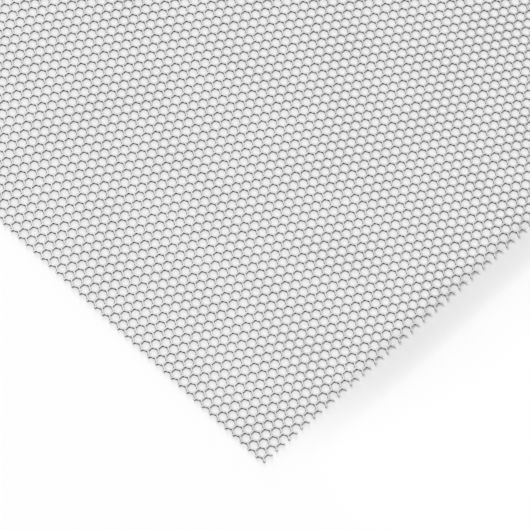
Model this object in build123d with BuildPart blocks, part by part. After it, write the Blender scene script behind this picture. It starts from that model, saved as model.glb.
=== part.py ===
"""Perforated metal sheet: flat aluminium stock punched all over with hexagonal holes.

The holes stand in rows along X, each row half a pitch off the one before it, so that every
hole has six neighbours and the metal between them is a honeycomb of straight webs.  The sheet
is a cut-off piece: its four edges are straight cuts that run through the holes wherever they
fall, and leave open holes and stubs of web along them.

The sheet lies flat on Z = 0, with its origin at the middle of the underside.  It is written as
bands that meet face to face: each joint follows the centre line of a row of holes, so it only
crosses the webs of that row.
"""

from build123d import *
import math
import os

# Driving dimensions, in millimetres
SHEET_WIDTH = 400.0  # along the rows of holes, X
SHEET_LENGTH = 350.0  # across the rows of holes, Y
THICKNESS = 1.0
HOLE_ACROSS_FLATS = 5.0
WEB_WIDTH = 1.0  # metal between two neighbouring holes
RIGHT_CUT_PAST_CENTRE = 2.4  # from the last hole centre of the first row to the right edge
FRONT_CUT_PAST_CENTRE = 0.45  # from the centre line of the first row to the front edge
ROWS_PER_BAND = 2  # one repeat of the staggered pattern

# Worked out from them
PITCH = HOLE_ACROSS_FLATS + WEB_WIDTH
ROW_STEP = PITCH * math.sqrt(3) / 2
HOLE_SIDES = 6
FLATS_TO_NEIGHBOURS = 180 / HOLE_SIDES  # turns the hexagon's flats towards the next holes
LEFT_EDGE = -SHEET_WIDTH / 2
RIGHT_EDGE = SHEET_WIDTH / 2
FRONT_EDGE = -SHEET_LENGTH / 2
BACK_EDGE = SHEET_LENGTH / 2
BAND_STEP = ROWS_PER_BAND * ROW_STEP
BAND_COUNT = math.ceil((SHEET_LENGTH + FRONT_CUT_PAST_CENTRE) / BAND_STEP)


def row_line(row):
    """The Y of a row's centre line; row 0 is the one that the front edge cuts."""
    return FRONT_EDGE - FRONT_CUT_PAST_CENTRE + row * ROW_STEP


def row_centres(row):
    """The hole centres of one row, from the right edge to the left."""
    stagger = PITCH / 2 if row % 2 else 0.0
    last_centre = RIGHT_EDGE - RIGHT_CUT_PAST_CENTRE + stagger
    hole_count = math.ceil((last_centre - LEFT_EDGE + HOLE_ACROSS_FLATS / 2) / PITCH)
    return [(last_centre - hole * PITCH, row_line(row)) for hole in range(hole_count)]


def punched_band(band_number):
    """One band of the sheet, between the centre lines of two rows or up to the sheet's edge."""
    first_row = band_number * ROWS_PER_BAND
    last_row = first_row + ROWS_PER_BAND
    front = max(row_line(first_row), FRONT_EDGE)
    back = min(row_line(last_row), BACK_EDGE)
    centres = [centre for row in range(first_row, last_row + 1) for centre in row_centres(row)]
    with BuildPart() as band:
        with BuildSketch():
            with Locations((0, (front + back) / 2)):
                Rectangle(SHEET_WIDTH, back - front)
            with Locations(*centres):
                RegularPolygon(
                    HOLE_ACROSS_FLATS / 2,
                    HOLE_SIDES,
                    major_radius=False,
                    rotation=FLATS_TO_NEIGHBOURS,
                    mode=Mode.SUBTRACT,
                )
        extrude(amount=THICKNESS, clean=False)
    return band


os.makedirs("parts", exist_ok=True)
for band_number in range(BAND_COUNT):
    band = punched_band(band_number)
    band.part.label = f"sheet_band_{band_number + 1:02d}"
    export_step(band.part, f"parts/{band.part.label}.step", write_pcurves=False)
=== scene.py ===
"""A perforated aluminium sheet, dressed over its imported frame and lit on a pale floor.

The sheet is one flat piece, 1 mm thick, punched all over with hexagonal holes in staggered rows.
Its mesh starts as one junction of three webs, is repeated over the sheet, cut to the sheet's four
edges, given its thickness and rolled over at the rim of every hole.
"""

import logging
import math
from dataclasses import dataclass, field
from enum import Enum

import bmesh
import bpy
from mathutils import Matrix, Vector


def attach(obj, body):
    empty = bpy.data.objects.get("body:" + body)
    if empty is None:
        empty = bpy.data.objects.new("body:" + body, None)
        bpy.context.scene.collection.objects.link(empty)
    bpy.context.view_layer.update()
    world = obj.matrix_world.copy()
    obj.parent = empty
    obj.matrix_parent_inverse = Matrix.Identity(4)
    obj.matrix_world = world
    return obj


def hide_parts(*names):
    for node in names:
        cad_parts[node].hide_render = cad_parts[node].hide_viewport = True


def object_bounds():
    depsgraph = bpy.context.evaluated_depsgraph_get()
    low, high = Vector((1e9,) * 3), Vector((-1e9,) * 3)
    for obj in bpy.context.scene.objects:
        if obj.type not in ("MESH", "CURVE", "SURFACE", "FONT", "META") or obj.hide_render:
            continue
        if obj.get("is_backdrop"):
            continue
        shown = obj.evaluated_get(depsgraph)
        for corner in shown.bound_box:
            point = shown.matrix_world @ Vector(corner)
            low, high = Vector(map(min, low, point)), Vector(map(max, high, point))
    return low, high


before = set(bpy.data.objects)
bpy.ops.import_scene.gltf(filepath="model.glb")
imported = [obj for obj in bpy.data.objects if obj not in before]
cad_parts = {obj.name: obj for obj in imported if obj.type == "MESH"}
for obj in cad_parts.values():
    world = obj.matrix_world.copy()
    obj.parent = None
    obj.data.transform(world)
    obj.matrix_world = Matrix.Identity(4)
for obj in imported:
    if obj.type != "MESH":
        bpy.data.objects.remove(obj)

MM = 0.001
BODY = "root"
NOISE_RANGE = (0.3, 0.7)  # nearly all of a noise's values lie between these
EVEN = (1.0, 1.0, 1.0)  # stretch of a pattern that is alike in all directions
WHITE = (1.0, 1.0, 1.0)

Colour = tuple[float, float, float]
Geometry = bmesh.types.BMVert | bmesh.types.BMEdge | bmesh.types.BMFace

log = logging.getLogger("perforated_sheet")


class Surface(Enum):
    """The kinds of surface on the sheet; the value is its material slot on the mesh."""

    FACE = 0
    ROLLED_RIM = 1
    HOLE_WALL = 2
    CUT_EDGE = 3


@dataclass(frozen=True)
class Perforation:
    """The hexagonal pattern punched in the sheet, in metres.

    The flats of a hole face its six neighbours, and two of its corners point along Y.

    Attributes:
        across_flats: Size of a hole between opposite flats.
        web: Metal between two neighbouring holes.
        rolled_rim: How far a hole's top rim is rolled over.
        right_cut_past_centre: From the last hole centre of the first row to the right edge.
        front_cut_past_centre: From the centre line of the first row to the front edge.
    """

    across_flats: float = 5.0 * MM
    web: float = 1.0 * MM
    rolled_rim: float = 0.10 * MM
    right_cut_past_centre: float = 2.4 * MM
    front_cut_past_centre: float = 0.45 * MM

    @property
    def pitch(self) -> float:
        """Distance between the centres of neighbouring holes."""
        return self.across_flats + self.web

    @property
    def row_step(self) -> float:
        """Distance between the centre lines of neighbouring rows."""
        return self.pitch * math.sqrt(3) / 2

    @property
    def hole_side(self) -> float:
        """Length of one side of a hole, which is also the length of a web."""
        return self.across_flats / math.sqrt(3)

    @property
    def centre_to_junction(self) -> float:
        """Distance along Y from a hole's centre to the web junction in front of it."""
        return self.pitch / math.sqrt(3)


def all_geometry(shape: bmesh.types.BMesh) -> list[Geometry]:
    """List every vertex, edge and face of a shape, as the operators want them."""
    return shape.verts[:] + shape.edges[:] + shape.faces[:]


def verts_of(made: dict[str, list[Geometry]]) -> list[bmesh.types.BMVert]:
    """Pick the vertices out of what an operator made."""
    return [item for item in made["geom"] if isinstance(item, bmesh.types.BMVert)]


def new_material(name: str, metallic: float) -> tuple[bpy.types.Material, bpy.types.Node]:
    """Make an empty node material.

    Args:
        name: The material's name.
        metallic: 1 for bare metal, 0 for anything else.

    Returns:
        The material and its Principled shader.
    """
    material = bpy.data.materials.new(name)
    material.use_nodes = True
    shader = material.node_tree.nodes["Principled BSDF"]
    shader.inputs["Metallic"].default_value = metallic
    return material, shader


def stretched_noise(
    material: bpy.types.Material, stretch: tuple[float, float, float], scale: float, detail: float
) -> bpy.types.NodeSocket:
    """Add noise that follows the object's own axes.

    Args:
        material: The material that gets the noise.
        stretch: Scale of the pattern along X, Y and Z.
        scale: Cells per metre before stretching.
        detail: Octaves of the noise.

    Returns:
        The noise's value socket.
    """
    nodes, links = material.node_tree.nodes, material.node_tree.links
    place = nodes.new("ShaderNodeTexCoord")
    mapping = nodes.new("ShaderNodeMapping")
    mapping.inputs["Scale"].default_value = stretch
    noise = nodes.new("ShaderNodeTexNoise")
    noise.inputs["Scale"].default_value = scale
    noise.inputs["Detail"].default_value = detail
    links.new(place.outputs["Object"], mapping.inputs["Vector"])
    links.new(mapping.outputs["Vector"], noise.inputs["Vector"])
    return noise.outputs["Fac"]


def ranged(
    material: bpy.types.Material, value: bpy.types.NodeSocket, low: float, high: float
) -> bpy.types.NodeSocket:
    """Spread a noise value between two numbers.

    Args:
        material: The material that holds the nodes.
        value: The noise.
        low: The result where the noise is low.
        high: The result where it is high.

    Returns:
        The result's socket.
    """
    node = material.node_tree.nodes.new("ShaderNodeMapRange")
    node.inputs["From Min"].default_value, node.inputs["From Max"].default_value = NOISE_RANGE
    node.inputs["To Min"].default_value = low
    node.inputs["To Max"].default_value = high
    material.node_tree.links.new(value, node.inputs["Value"])
    return node.outputs["Result"]


def honeycomb(
    material: bpy.types.Material, hole_centre: Vector, pitch: float
) -> bpy.types.NodeSocket:
    """Add three crossed waves: 3 at the holes' centres, -1 halfway along a web, -1.5 at a junction.

    Args:
        material: The material that gets the waves.
        hole_centre: The centre of any one hole.
        pitch: Distance between the centres of neighbouring holes.

    Returns:
        The waves' sum.
    """
    nodes, links = material.node_tree.nodes, material.node_tree.links
    place = nodes.new("ShaderNodeTexCoord")
    mapping = nodes.new("ShaderNodeMapping")
    mapping.inputs["Location"].default_value = -hole_centre
    links.new(place.outputs["Object"], mapping.inputs["Vector"])
    row_step = pitch * math.sqrt(3) / 2
    waves = []
    for degrees in (30.0, 90.0, 150.0):  # square to the three ways that rows of holes run
        turn = math.radians(degrees)
        along = nodes.new("ShaderNodeVectorMath")
        along.operation = "DOT_PRODUCT"
        across_rows = Vector((math.cos(turn), math.sin(turn), 0.0))
        along.inputs[1].default_value = across_rows * 2.0 * math.pi / row_step
        links.new(mapping.outputs["Vector"], along.inputs[0])
        wave = nodes.new("ShaderNodeMath")
        wave.operation = "COSINE"
        links.new(along.outputs["Value"], wave.inputs[0])
        waves.append(wave.outputs["Value"])
    total = waves[0]
    for wave in waves[1:]:
        added = nodes.new("ShaderNodeMath")
        added.operation = "ADD"
        links.new(total, added.inputs[0])
        links.new(wave, added.inputs[1])
        total = added.outputs["Value"]
    return total


def blended_colour(
    material: bpy.types.Material,
    amount: bpy.types.NodeSocket,
    first: Colour | bpy.types.NodeSocket,
    second: Colour,
) -> bpy.types.NodeSocket:
    """Blend two colours by an amount from 0 to 1.

    Args:
        material: The material that holds the node.
        amount: Share of the second colour.
        first: Colour at 0, or the socket that gives it.
        second: Colour at 1.

    Returns:
        The colour's socket.
    """
    mix = material.node_tree.nodes.new("ShaderNodeMix")
    mix.data_type = "RGBA"
    if isinstance(first, tuple):
        mix.inputs["A"].default_value = (*first, 1.0)
    else:
        material.node_tree.links.new(first, mix.inputs["A"])
    mix.inputs["B"].default_value = (*second, 1.0)
    material.node_tree.links.new(amount, mix.inputs["Factor"])
    return mix.outputs["Result"]


def emboss(
    material: bpy.types.Material,
    shader: bpy.types.Node,
    height: bpy.types.NodeSocket,
    depth: float,
    strength: float,
) -> None:
    """Give a finish fine relief.

    Args:
        material: The material that holds the nodes.
        shader: The shader that gets the relief.
        height: The pattern that is raised.
        depth: Height of the relief in metres.
        strength: Share of that height that shows.
    """
    bump = material.node_tree.nodes.new("ShaderNodeBump")
    bump.inputs["Strength"].default_value = strength
    bump.inputs["Distance"].default_value = depth
    material.node_tree.links.new(height, bump.inputs["Height"])
    material.node_tree.links.new(bump.outputs["Normal"], shader.inputs["Normal"])


@dataclass(frozen=True)
class RolledFace:
    """Bare mill finish of the flat faces: pale, matte, with the faint lines of rolling along X.

    Attributes:
        pale: Colour of the pale lines.
        dull: Colour of the dull lines.
        smooth: Roughness of the smoothest patches.
        rough: Roughness of the roughest patches.
        line_stretch: Stretch of the noise that draws the lines.
        lines_per_metre: How close the lines stand before stretching.
        line_detail: Octaves of the lines.
        patches_per_metre: How close the patches stand.
        patch_detail: Octaves of the patches.
        relief: Depth of the lines.
        relief_strength: Share of that depth that shows.
    """

    pale: Colour = (0.91, 0.91, 0.915)
    dull: Colour = (0.85, 0.85, 0.855)
    smooth: float = 0.42
    rough: float = 0.54
    line_stretch: tuple[float, float, float] = (1.0, 40.0, 1.0)
    lines_per_metre: float = 60.0
    line_detail: float = 3.0
    patches_per_metre: float = 25.0
    patch_detail: float = 2.0
    relief: float = 0.01 * MM
    relief_strength: float = 0.3

    def material(self) -> bpy.types.Material:
        """Build the material: rolling lines in colour and relief, broad patches in roughness.

        Returns:
            The material.
        """
        material, shader = new_material("rolled_aluminium_face", metallic=1.0)
        links = material.node_tree.links
        lines = stretched_noise(
            material, self.line_stretch, self.lines_per_metre, self.line_detail
        )
        patches = stretched_noise(material, EVEN, self.patches_per_metre, self.patch_detail)
        colour = blended_colour(material, ranged(material, lines, 0.0, 1.0), self.dull, self.pale)
        links.new(colour, shader.inputs["Base Color"])
        links.new(ranged(material, patches, self.smooth, self.rough), shader.inputs["Roughness"])
        emboss(material, shader, lines, self.relief, self.relief_strength)
        return material


@dataclass(frozen=True)
class BurnishedRim:
    """Rim of a hole on the punch side, rolled over and rubbed bright by the punch.

    Attributes:
        bright: Colour of the rubbed metal.
        worn: Colour of the worn stretches.
        roughness: Roughness of the rim.
        wear_per_metre: How close the worn stretches stand.
        wear_detail: Octaves of the wear.
    """

    bright: Colour = (0.90, 0.90, 0.905)
    worn: Colour = (0.80, 0.80, 0.81)
    roughness: float = 0.35
    wear_per_metre: float = 400.0
    wear_detail: float = 2.0

    def material(self) -> bpy.types.Material:
        """Build the material: bright metal with small worn stretches.

        Returns:
            The material.
        """
        material, shader = new_material("burnished_hole_rim", metallic=1.0)
        shader.inputs["Roughness"].default_value = self.roughness
        wear = stretched_noise(material, EVEN, self.wear_per_metre, self.wear_detail)
        amount = ranged(material, wear, 0.0, 1.0)
        colour = blended_colour(material, amount, self.worn, self.bright)
        material.node_tree.links.new(colour, shader.inputs["Base Color"])
        return material


@dataclass(frozen=True)
class PunchedWall:
    """Wall of a punched hole: burnished below the rim, darker towards the bottom, with painted
    shade in its six corners.

    Attributes:
        pattern: The holes and webs.
        hole_centre: The centre of any one hole.
        burnished: Colour of the upper part.
        darker_lower: Colour of the lower part, darker than the upper part.
        corner: Painted shade: the colour that darkens the hole's six corners.
        roughness: Roughness of the wall.
        burnish_from: Height at which the darker lower part ends.
        burnish_to: Height at which the burnished part begins.
        corner_shade_from: Value of the honeycomb waves at which the painted corner shade starts.
        corner_shade_to: Value at which the painted corner shade is full.
        drag_stretch: Stretch of the punch's drag lines.
        drags_per_metre: How close they stand before stretching.
        drag_detail: Octaves of the drag lines.
        relief: Depth of the drag lines.
        relief_strength: Share of that depth that shows.
    """

    pattern: Perforation
    hole_centre: Vector
    burnished: Colour = (0.75, 0.75, 0.755)
    darker_lower: Colour = (0.30, 0.30, 0.303)
    # Painted shade: black blended into the wall's six corners, where two walls meet and shade
    # falls.
    corner: Colour = (0.0, 0.0, 0.0)
    roughness: float = 0.5
    burnish_from: float = 0.45 * MM
    burnish_to: float = 0.65 * MM
    corner_shade_from: float = -0.78
    corner_shade_to: float = -0.94
    drag_stretch: tuple[float, float, float] = (30.0, 30.0, 1.0)
    drags_per_metre: float = 90.0
    drag_detail: float = 2.0
    relief: float = 0.02 * MM
    relief_strength: float = 0.5

    def material(self) -> bpy.types.Material:
        """Build the material: a burnished band by height, painted shade in the corners and drag
        lines in relief.

        Returns:
            The material.
        """
        material, shader = new_material("punched_hole_wall", metallic=1.0)
        nodes, links = material.node_tree.nodes, material.node_tree.links
        shader.inputs["Roughness"].default_value = self.roughness
        drags = stretched_noise(
            material, self.drag_stretch, self.drags_per_metre, self.drag_detail
        )
        place = nodes.new("ShaderNodeTexCoord")
        split = nodes.new("ShaderNodeSeparateXYZ")
        links.new(place.outputs["Object"], split.inputs["Vector"])
        band = nodes.new("ShaderNodeMapRange")
        band.inputs["From Min"].default_value = self.burnish_from
        band.inputs["From Max"].default_value = self.burnish_to
        links.new(split.outputs["Z"], band.inputs["Value"])
        # Darker towards the bottom: blended by height from the darker lower colour to the burnished
        # one.
        side = blended_colour(material, band.outputs["Result"], self.darker_lower, self.burnished)
        # Painted shade: the honeycomb waves mark the hole's corners, which are darkened towards
        # black.
        corners = nodes.new("ShaderNodeMapRange")
        corners.inputs["From Min"].default_value = self.corner_shade_from
        corners.inputs["From Max"].default_value = self.corner_shade_to
        waves = honeycomb(material, self.hole_centre, self.pattern.pitch)
        links.new(waves, corners.inputs["Value"])
        colour = blended_colour(material, corners.outputs["Result"], side, self.corner)
        links.new(colour, shader.inputs["Base Color"])
        emboss(material, shader, drags, self.relief, self.relief_strength)
        return material


@dataclass(frozen=True)
class ShearedEdge:
    """Cut edge of the sheet: fresh bright metal with fine upright shear lines.

    Attributes:
        bright: Colour of the bright lines.
        shaded: Colour of the lines between them.
        roughness: Roughness of the edge.
        line_stretch: Stretch of the noise that draws the lines.
        lines_per_metre: How close the lines stand before stretching.
        line_detail: Octaves of the lines.
    """

    bright: Colour = (0.78, 0.78, 0.79)
    shaded: Colour = (0.55, 0.55, 0.56)
    roughness: float = 0.4
    line_stretch: tuple[float, float, float] = (40.0, 40.0, 1.0)
    lines_per_metre: float = 80.0
    line_detail: float = 2.0

    def material(self) -> bpy.types.Material:
        """Build the material: upright lines between a bright and a shaded grey.

        Returns:
            The material.
        """
        material, shader = new_material("sheared_sheet_edge", metallic=1.0)
        shader.inputs["Roughness"].default_value = self.roughness
        lines = stretched_noise(
            material, self.line_stretch, self.lines_per_metre, self.line_detail
        )
        amount = ranged(material, lines, 0.0, 1.0)
        colour = blended_colour(material, amount, self.shaded, self.bright)
        material.node_tree.links.new(colour, shader.inputs["Base Color"])
        return material


@dataclass
class PerforatedSheet:
    """The sheet itself, modelled inside the frame's box.

    Attributes:
        low: Lowest corner of the sheet.
        high: Highest corner of the sheet.
        pattern: The holes and webs.
        face: Finish of the flat faces.
        rim: Finish of the holes' rolled rims.
        edge: Finish of the four cut edges.
        tolerance: Distance under which two points are the same.
        cut_tolerance: Distance under which a point already lies on a cut.
        spare_holes: Holes by which the uncut net reaches past each side of the sheet, at least.
        rim_tilt: Least and greatest upward share of a rim's normal; walls have less, faces more.
    """

    low: Vector
    high: Vector
    pattern: Perforation = field(default_factory=Perforation)
    face: RolledFace = field(default_factory=RolledFace)
    rim: BurnishedRim = field(default_factory=BurnishedRim)
    edge: ShearedEdge = field(default_factory=ShearedEdge)
    tolerance: float = 0.001 * MM
    cut_tolerance: float = 0.0001 * MM
    spare_holes: int = 2
    rim_tilt: tuple[float, float] = (0.5, 0.9)

    def build(self) -> bpy.types.Object:
        """Model and dress the sheet, and bind it to the frame.

        Returns:
            The sheet's object.
        """
        net = self._repeat(self._web_junction())
        shape = bmesh.new()
        shape.from_mesh(net)
        bpy.data.meshes.remove(net)
        bmesh.ops.remove_doubles(shape, verts=shape.verts, dist=self.tolerance)
        self._cut_to_size(shape)
        self._give_thickness(shape)
        self._roll_rims(shape)
        self._name_surfaces(shape)
        self._order_faces(shape)
        mesh = bpy.data.meshes.new("perforated_sheet")
        shape.to_mesh(mesh)
        shape.free()
        sheet = bpy.data.objects.new("perforated_sheet", mesh)
        bpy.context.collection.objects.link(sheet)
        finishes = {
            Surface.FACE: self.face,
            Surface.ROLLED_RIM: self.rim,
            Surface.HOLE_WALL: PunchedWall(self.pattern, self._hole_centre()),
            Surface.CUT_EDGE: self.edge,
        }
        for surface in Surface:
            mesh.materials.append(finishes[surface].material())
        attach(sheet, BODY)
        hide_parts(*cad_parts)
        return sheet

    def _hole_centre(self) -> Vector:
        """Give the centre of the last hole of the first row, which the front edge cuts.

        Returns:
            The centre, at the height of the underside.
        """
        pattern = self.pattern
        return Vector((
            self.high.x - pattern.right_cut_past_centre,
            self.low.y - pattern.front_cut_past_centre,
            self.low.z,
        ))

    def _web_junction(self) -> bpy.types.Object:
        """Make the repeating part of the net: one junction, its three webs and the next junction.

        Returns:
            An object that holds the flat pieces at the place of the first repeat.
        """
        unit = bmesh.new()
        reach = self.pattern.centre_to_junction - self.pattern.hole_side
        bmesh.ops.create_circle(unit, cap_ends=True, segments=3, radius=reach)
        for side in unit.edges[:]:
            middle = (side.verts[0].co + side.verts[1].co) / 2
            pulled = bmesh.ops.extrude_edge_only(unit, edges=[side])
            along_web = middle.normalized() * self.pattern.hole_side
            bmesh.ops.translate(unit, verts=verts_of(pulled), vec=along_web)
        half_turn = Matrix.Rotation(math.pi, 4, "Z")
        next_place = Matrix.Translation((0.0, -self.pattern.centre_to_junction, 0.0)) @ half_turn
        bmesh.ops.create_circle(unit, cap_ends=True, segments=3, radius=reach, matrix=next_place)
        bmesh.ops.remove_doubles(unit, verts=unit.verts, dist=self.tolerance)
        mesh = bpy.data.meshes.new("web_junction")
        unit.to_mesh(mesh)
        unit.free()
        return bpy.data.objects.new("web_junction", mesh)

    def _repeat(self, junction: bpy.types.Object) -> bpy.types.Mesh:
        """Repeat the junction until it covers the sheet with some to spare all round.

        Args:
            junction: The repeating part, used up here.

        Returns:
            The mesh of the whole net, at its place on the underside.
        """
        pattern = self.pattern
        size, pair_step = self.high - self.low, 2 * pattern.row_step
        across = math.ceil(size.x / pattern.pitch) + 2 * self.spare_holes
        pairs = math.ceil(size.y / pair_step) + self.spare_holes + 1
        spare = Vector((self.spare_holes * pattern.pitch, -pair_step, 0.0))
        in_front = Vector((0.0, -pattern.centre_to_junction, 0.0))
        first_junction = self._hole_centre() + spare + in_front
        unit = bmesh.new()
        unit.from_mesh(junction.data)
        second = bmesh.ops.duplicate(unit, geom=all_geometry(unit))
        stagger = Vector((-pattern.pitch / 2, pattern.row_step, 0.0))
        bmesh.ops.translate(unit, verts=verts_of(second), vec=stagger)
        bmesh.ops.translate(unit, verts=unit.verts, vec=first_junction)
        unit.to_mesh(junction.data)
        unit.free()
        bpy.context.collection.objects.link(junction)
        for name, count, step in (
            ("along_rows", across, (-pattern.pitch, 0.0, 0.0)),
            ("across_rows", pairs, (0.0, pair_step, 0.0)),
        ):
            array = junction.modifiers.new(name, "ARRAY")
            array.count = count
            array.use_relative_offset = False
            array.use_constant_offset = True
            array.constant_offset_displace = step
        evaluated = junction.evaluated_get(bpy.context.evaluated_depsgraph_get())
        net = bpy.data.meshes.new_from_object(evaluated)
        bpy.data.objects.remove(junction)
        return net

    def _cut_to_size(self, shape: bmesh.types.BMesh) -> None:
        """Cut the net along the sheet's four edges.

        Args:
            shape: The flat net.
        """
        for corner, outward in (
            (self.high, Vector((1.0, 0.0, 0.0))),
            (self.high, Vector((0.0, 1.0, 0.0))),
            (self.low, Vector((-1.0, 0.0, 0.0))),
            (self.low, Vector((0.0, -1.0, 0.0))),
        ):
            bmesh.ops.bisect_plane(
                shape,
                geom=all_geometry(shape),
                dist=self.cut_tolerance,
                plane_co=corner,
                plane_no=outward,
                clear_outer=True,
            )

    def _give_thickness(self, shape: bmesh.types.BMesh) -> None:
        """Raise the flat net to the sheet's thickness and close it all round.

        Args:
            shape: The flat net on the underside.
        """
        raised = bmesh.ops.extrude_face_region(shape, geom=shape.faces[:])
        upwards = (0.0, 0.0, self.high.z - self.low.z)
        bmesh.ops.translate(shape, verts=verts_of(raised), vec=upwards)
        bmesh.ops.recalc_face_normals(shape, faces=shape.faces[:])

    def _roll_rims(self, shape: bmesh.types.BMesh) -> None:
        """Round over the punch side of every hole, and leave the sheared edges sharp.

        Args:
            shape: The closed sheet.
        """
        rims = [
            edge
            for edge in shape.edges
            if min(vert.co.z for vert in edge.verts) > self.high.z - self.tolerance
            and any(self._is_hole_wall(face) for face in edge.link_faces)
        ]
        bmesh.ops.bevel(
            shape,
            geom=rims,
            offset=self.pattern.rolled_rim,
            offset_type="OFFSET",
            affect="EDGES",
            segments=1,
            profile=0.5,
            material=-1,
        )

    def _is_hole_wall(self, face: bmesh.types.BMFace) -> bool:
        """Tell whether an upright face is a hole's wall and not part of a cut edge."""
        return abs(face.normal.z) < self.rim_tilt[0] and not self._is_cut_edge(face)

    def _is_rim(self, face: bmesh.types.BMFace) -> bool:
        """Tell whether a face is part of a hole's rolled rim, which slopes into the hole."""
        return self.rim_tilt[0] <= face.normal.z < self.rim_tilt[1]

    def _is_cut_edge(self, face: bmesh.types.BMFace) -> bool:
        """Tell whether a face lies on one of the sheet's four cut edges.

        Args:
            face: Any face of the sheet.

        Returns:
            True on a cut edge.
        """
        middle = face.calc_center_median()
        return (
            min(self.high.x - middle.x, middle.x - self.low.x) < self.tolerance
            or min(self.high.y - middle.y, middle.y - self.low.y) < self.tolerance
        )

    def _name_surfaces(self, shape: bmesh.types.BMesh) -> None:
        """Give every face the finish of its kind of surface.

        Args:
            shape: The finished sheet.
        """
        for face in shape.faces:
            if self._is_cut_edge(face):
                face.material_index = Surface.CUT_EDGE.value
            elif self._is_hole_wall(face):
                face.material_index = Surface.HOLE_WALL.value
            elif self._is_rim(face):
                face.material_index = Surface.ROLLED_RIM.value
            else:
                face.material_index = Surface.FACE.value

    def _order_faces(self, shape: bmesh.types.BMesh) -> None:
        """Put the faces in order of place, because the operators' own order varies between runs.

        Args:
            shape: The finished sheet.
        """
        by_place = sorted(shape.faces, key=lambda face: tuple(face.calc_center_median()))
        for place, face in enumerate(by_place):
            face.index = place
        shape.faces.sort()


@dataclass(frozen=True)
class Lamp:
    """A soft and distant lamp.

    Attributes:
        name: The lamp's name.
        floor_light: What the lamp alone adds to a level floor; 1 lights a white floor to white.
        azimuth: Direction of the lamp seen from the sheet, in degrees from +X towards +Y.
        elevation: Height of the lamp above the floor, in degrees.
        width: Angle that the lamp fills, in degrees.
        glares: Whether metal mirrors the lamp.
    """

    name: str
    floor_light: float
    azimuth: float
    elevation: float
    width: float
    glares: bool = True

    def hang(self, target: Vector) -> bpy.types.Object:
        """Make the lamp and point it.

        Args:
            target: The point that it is turned to.

        Returns:
            The lamp's object.
        """
        azimuth, elevation = math.radians(self.azimuth), math.radians(self.elevation)
        towards_lamp = Vector((
            math.cos(azimuth) * math.cos(elevation),
            math.sin(azimuth) * math.cos(elevation),
            math.sin(elevation),
        ))
        data = bpy.data.lights.new(self.name, "SUN")
        data.energy = self.floor_light * math.pi / math.sin(elevation)
        data.angle = math.radians(self.width)
        lamp = bpy.data.objects.new(self.name, data)
        lamp.rotation_mode = "QUATERNION"
        lamp.rotation_quaternion = towards_lamp.to_track_quat("Z", "Y")
        lamp.location = target + towards_lamp
        lamp.visible_glossy = self.glares
        bpy.context.collection.objects.link(lamp)
        return lamp


def eased(share: float) -> float:
    """Ease in and out from 0 to 1, and stay level outside that range."""
    share = min(max(share, 0.0), 1.0)
    return share * share * (3.0 - 2.0 * share)


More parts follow.
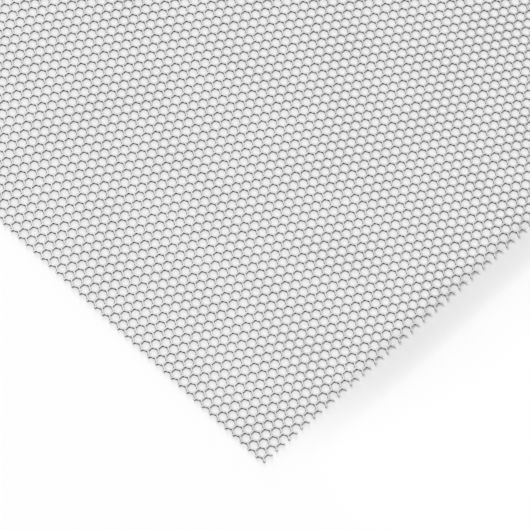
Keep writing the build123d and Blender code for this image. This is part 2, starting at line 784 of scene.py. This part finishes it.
@dataclass
class Studio:
    """Pale floor, soft light mostly from the left, and the camera over the front right corner.

    Attributes:
        corner: The sheet's front right corner on the floor.
        edge_length: Length of the sheet's right edge.
        aim: From that corner to the point that the camera looks at.
        distance: From that point to the camera.
        azimuth: Direction of the camera round the sheet, in degrees; 0 looks along +Y.
        elevation: Height of the camera above the horizon, in degrees.
        roll: Turn of the camera about its line of sight, in degrees.
        lens: Focal length in millimetres.
        sensor: Width of the camera's sensor in millimetres.
        sight: Greatest distance that the camera sees.
        floor_colour: Colour of the floor.
        floor_roughness: Roughness of the floor.
        floor_size: Half the side of the floor.
        floor_gap: Gap between the sheet and the floor, too thin to see.
        hollow_depth: Depth of the hollow in the floor beside the sheet's right edge.
        hollow_inside: How far the hollow reaches under the sheet.
        hollow_fall: Length of its fall, across that edge.
        hollow_rise: Length of its rise back to the level floor.
        hollow_taper: Length over which it fades out towards both ends of that edge.
        slope_steps: Strips that each slope is divided into.
        sky: Strength of the even white light from all round.
        lamps: The lamps that add to it.
    """

    corner: Vector
    edge_length: float
    aim: tuple[float, float, float] = (-0.08536, 0.09373, 0.001)
    distance: float = 3.2913
    azimuth: float = 25.16
    elevation: float = 59.07
    roll: float = 20.47
    lens: float = 393.6
    sensor: float = 36.0
    sight: float = 20.0
    floor_colour: Colour = (0.96, 0.96, 0.96)
    floor_roughness: float = 0.9
    floor_size: float = 6.0
    floor_gap: float = 0.05 * MM
    hollow_depth: float = 4.5 * MM
    hollow_inside: float = 8.0 * MM
    hollow_fall: float = 26.0 * MM
    hollow_rise: float = 200.0 * MM
    hollow_taper: float = 130.0 * MM
    slope_steps: int = 24
    sky: float = 0.40
    lamps: tuple[Lamp, ...] = (
        Lamp("key", floor_light=0.50, azimuth=195.0, elevation=62.0, width=36.0),
        Lamp("low_left", floor_light=0.13, azimuth=150.0, elevation=12.0, width=30.0, glares=False),
    )

    def build(self) -> None:
        """Make the camera, the lights and the floor."""
        self._camera()
        self._lights()
        self._floor()

    def _camera(self) -> None:
        """Place the camera by its direction round the aim point, and roll it."""
        azimuth, elevation = math.radians(self.azimuth), math.radians(self.elevation)
        back = Vector((
            math.sin(azimuth) * math.cos(elevation),
            -math.cos(azimuth) * math.cos(elevation),
            math.sin(elevation),
        ))
        data = bpy.data.cameras.new("camera")
        data.lens = self.lens
        data.sensor_width = self.sensor
        data.clip_end = self.sight
        camera = bpy.data.objects.new("camera", data)
        bpy.context.collection.objects.link(camera)
        level = (-back).to_track_quat("-Z", "Y").to_matrix().to_4x4()
        rolled = level @ Matrix.Rotation(math.radians(self.roll), 4, "Z")
        place = self.corner + Vector(self.aim) + back * self.distance
        camera.matrix_world = Matrix.Translation(place) @ rolled
        bpy.context.scene.camera = camera

    def _lights(self) -> None:
        """Light the sheet with the lamps and an even white sky."""
        for lamp in self.lamps:
            lamp.hang(self.corner)
        world = bpy.data.worlds.new("studio")
        bpy.context.scene.world = world
        world.use_nodes = True
        sky = world.node_tree.nodes["Background"]
        sky.inputs["Color"].default_value = (*WHITE, 1.0)
        sky.inputs["Strength"].default_value = self.sky

    def _floor(self) -> None:
        """Lay a wide matt floor that carries the sheet, with a shallow hollow at its right edge."""
        shape = bmesh.new()
        bmesh.ops.create_grid(shape, x_segments=1, y_segments=1, size=self.floor_size)
        rim = self.corner.x - self.hollow_inside
        deepest = rim + self.hollow_fall
        back = self.corner.y + self.edge_length
        right, along = Vector((1.0, 0.0, 0.0)), Vector((0.0, 1.0, 0.0))
        slopes = (
            (right, rim, deepest),
            (right, deepest + self.hollow_rise, deepest),
            (along, self.corner.y, self.corner.y + self.hollow_taper),
            (along, back, back - self.hollow_taper),
        )
        for axis, level, foot in slopes:
            for step in range(-1, self.slope_steps + 1):
                bmesh.ops.bisect_plane(
                    shape,
                    geom=all_geometry(shape),
                    plane_co=axis * (level + (foot - level) * step / self.slope_steps),
                    plane_no=axis,
                )
        for vert in shape.verts:
            depth = self.hollow_depth
            for axis, level, foot in slopes:
                depth *= eased((vert.co.dot(axis) - level) / (foot - level))
            vert.co.z = -self.floor_gap - depth
        for face in shape.faces:
            face.smooth = True
        mesh = bpy.data.meshes.new("floor")
        shape.to_mesh(mesh)
        shape.free()
        floor = bpy.data.objects.new("floor", mesh)
        bpy.context.collection.objects.link(floor)
        material, shader = new_material("matt_floor", metallic=0.0)
        shader.inputs["Base Color"].default_value = (*self.floor_colour, 1.0)
        shader.inputs["Roughness"].default_value = self.floor_roughness
        shader.inputs["Specular IOR Level"].default_value = 0.0
        mesh.materials.append(material)
        floor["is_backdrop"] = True


def main() -> None:
    logging.basicConfig(level=logging.INFO, format="%(name)s: %(message)s")
    cad_low, cad_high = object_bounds()
    sheet = PerforatedSheet(low=cad_low, high=cad_high).build()
    sheet.data.calc_loop_triangles()
    log.info("%s: %d triangles", sheet.name, len(sheet.data.loop_triangles))
    corner = Vector((cad_high.x, cad_low.y, cad_low.z))
    Studio(corner=corner, edge_length=cad_high.y - cad_low.y).build()
    log.info("studio: floor, lamps, sky and camera")
    bpy.context.scene.view_settings.view_transform = "Standard"


if __name__ == "__main__":
    main()
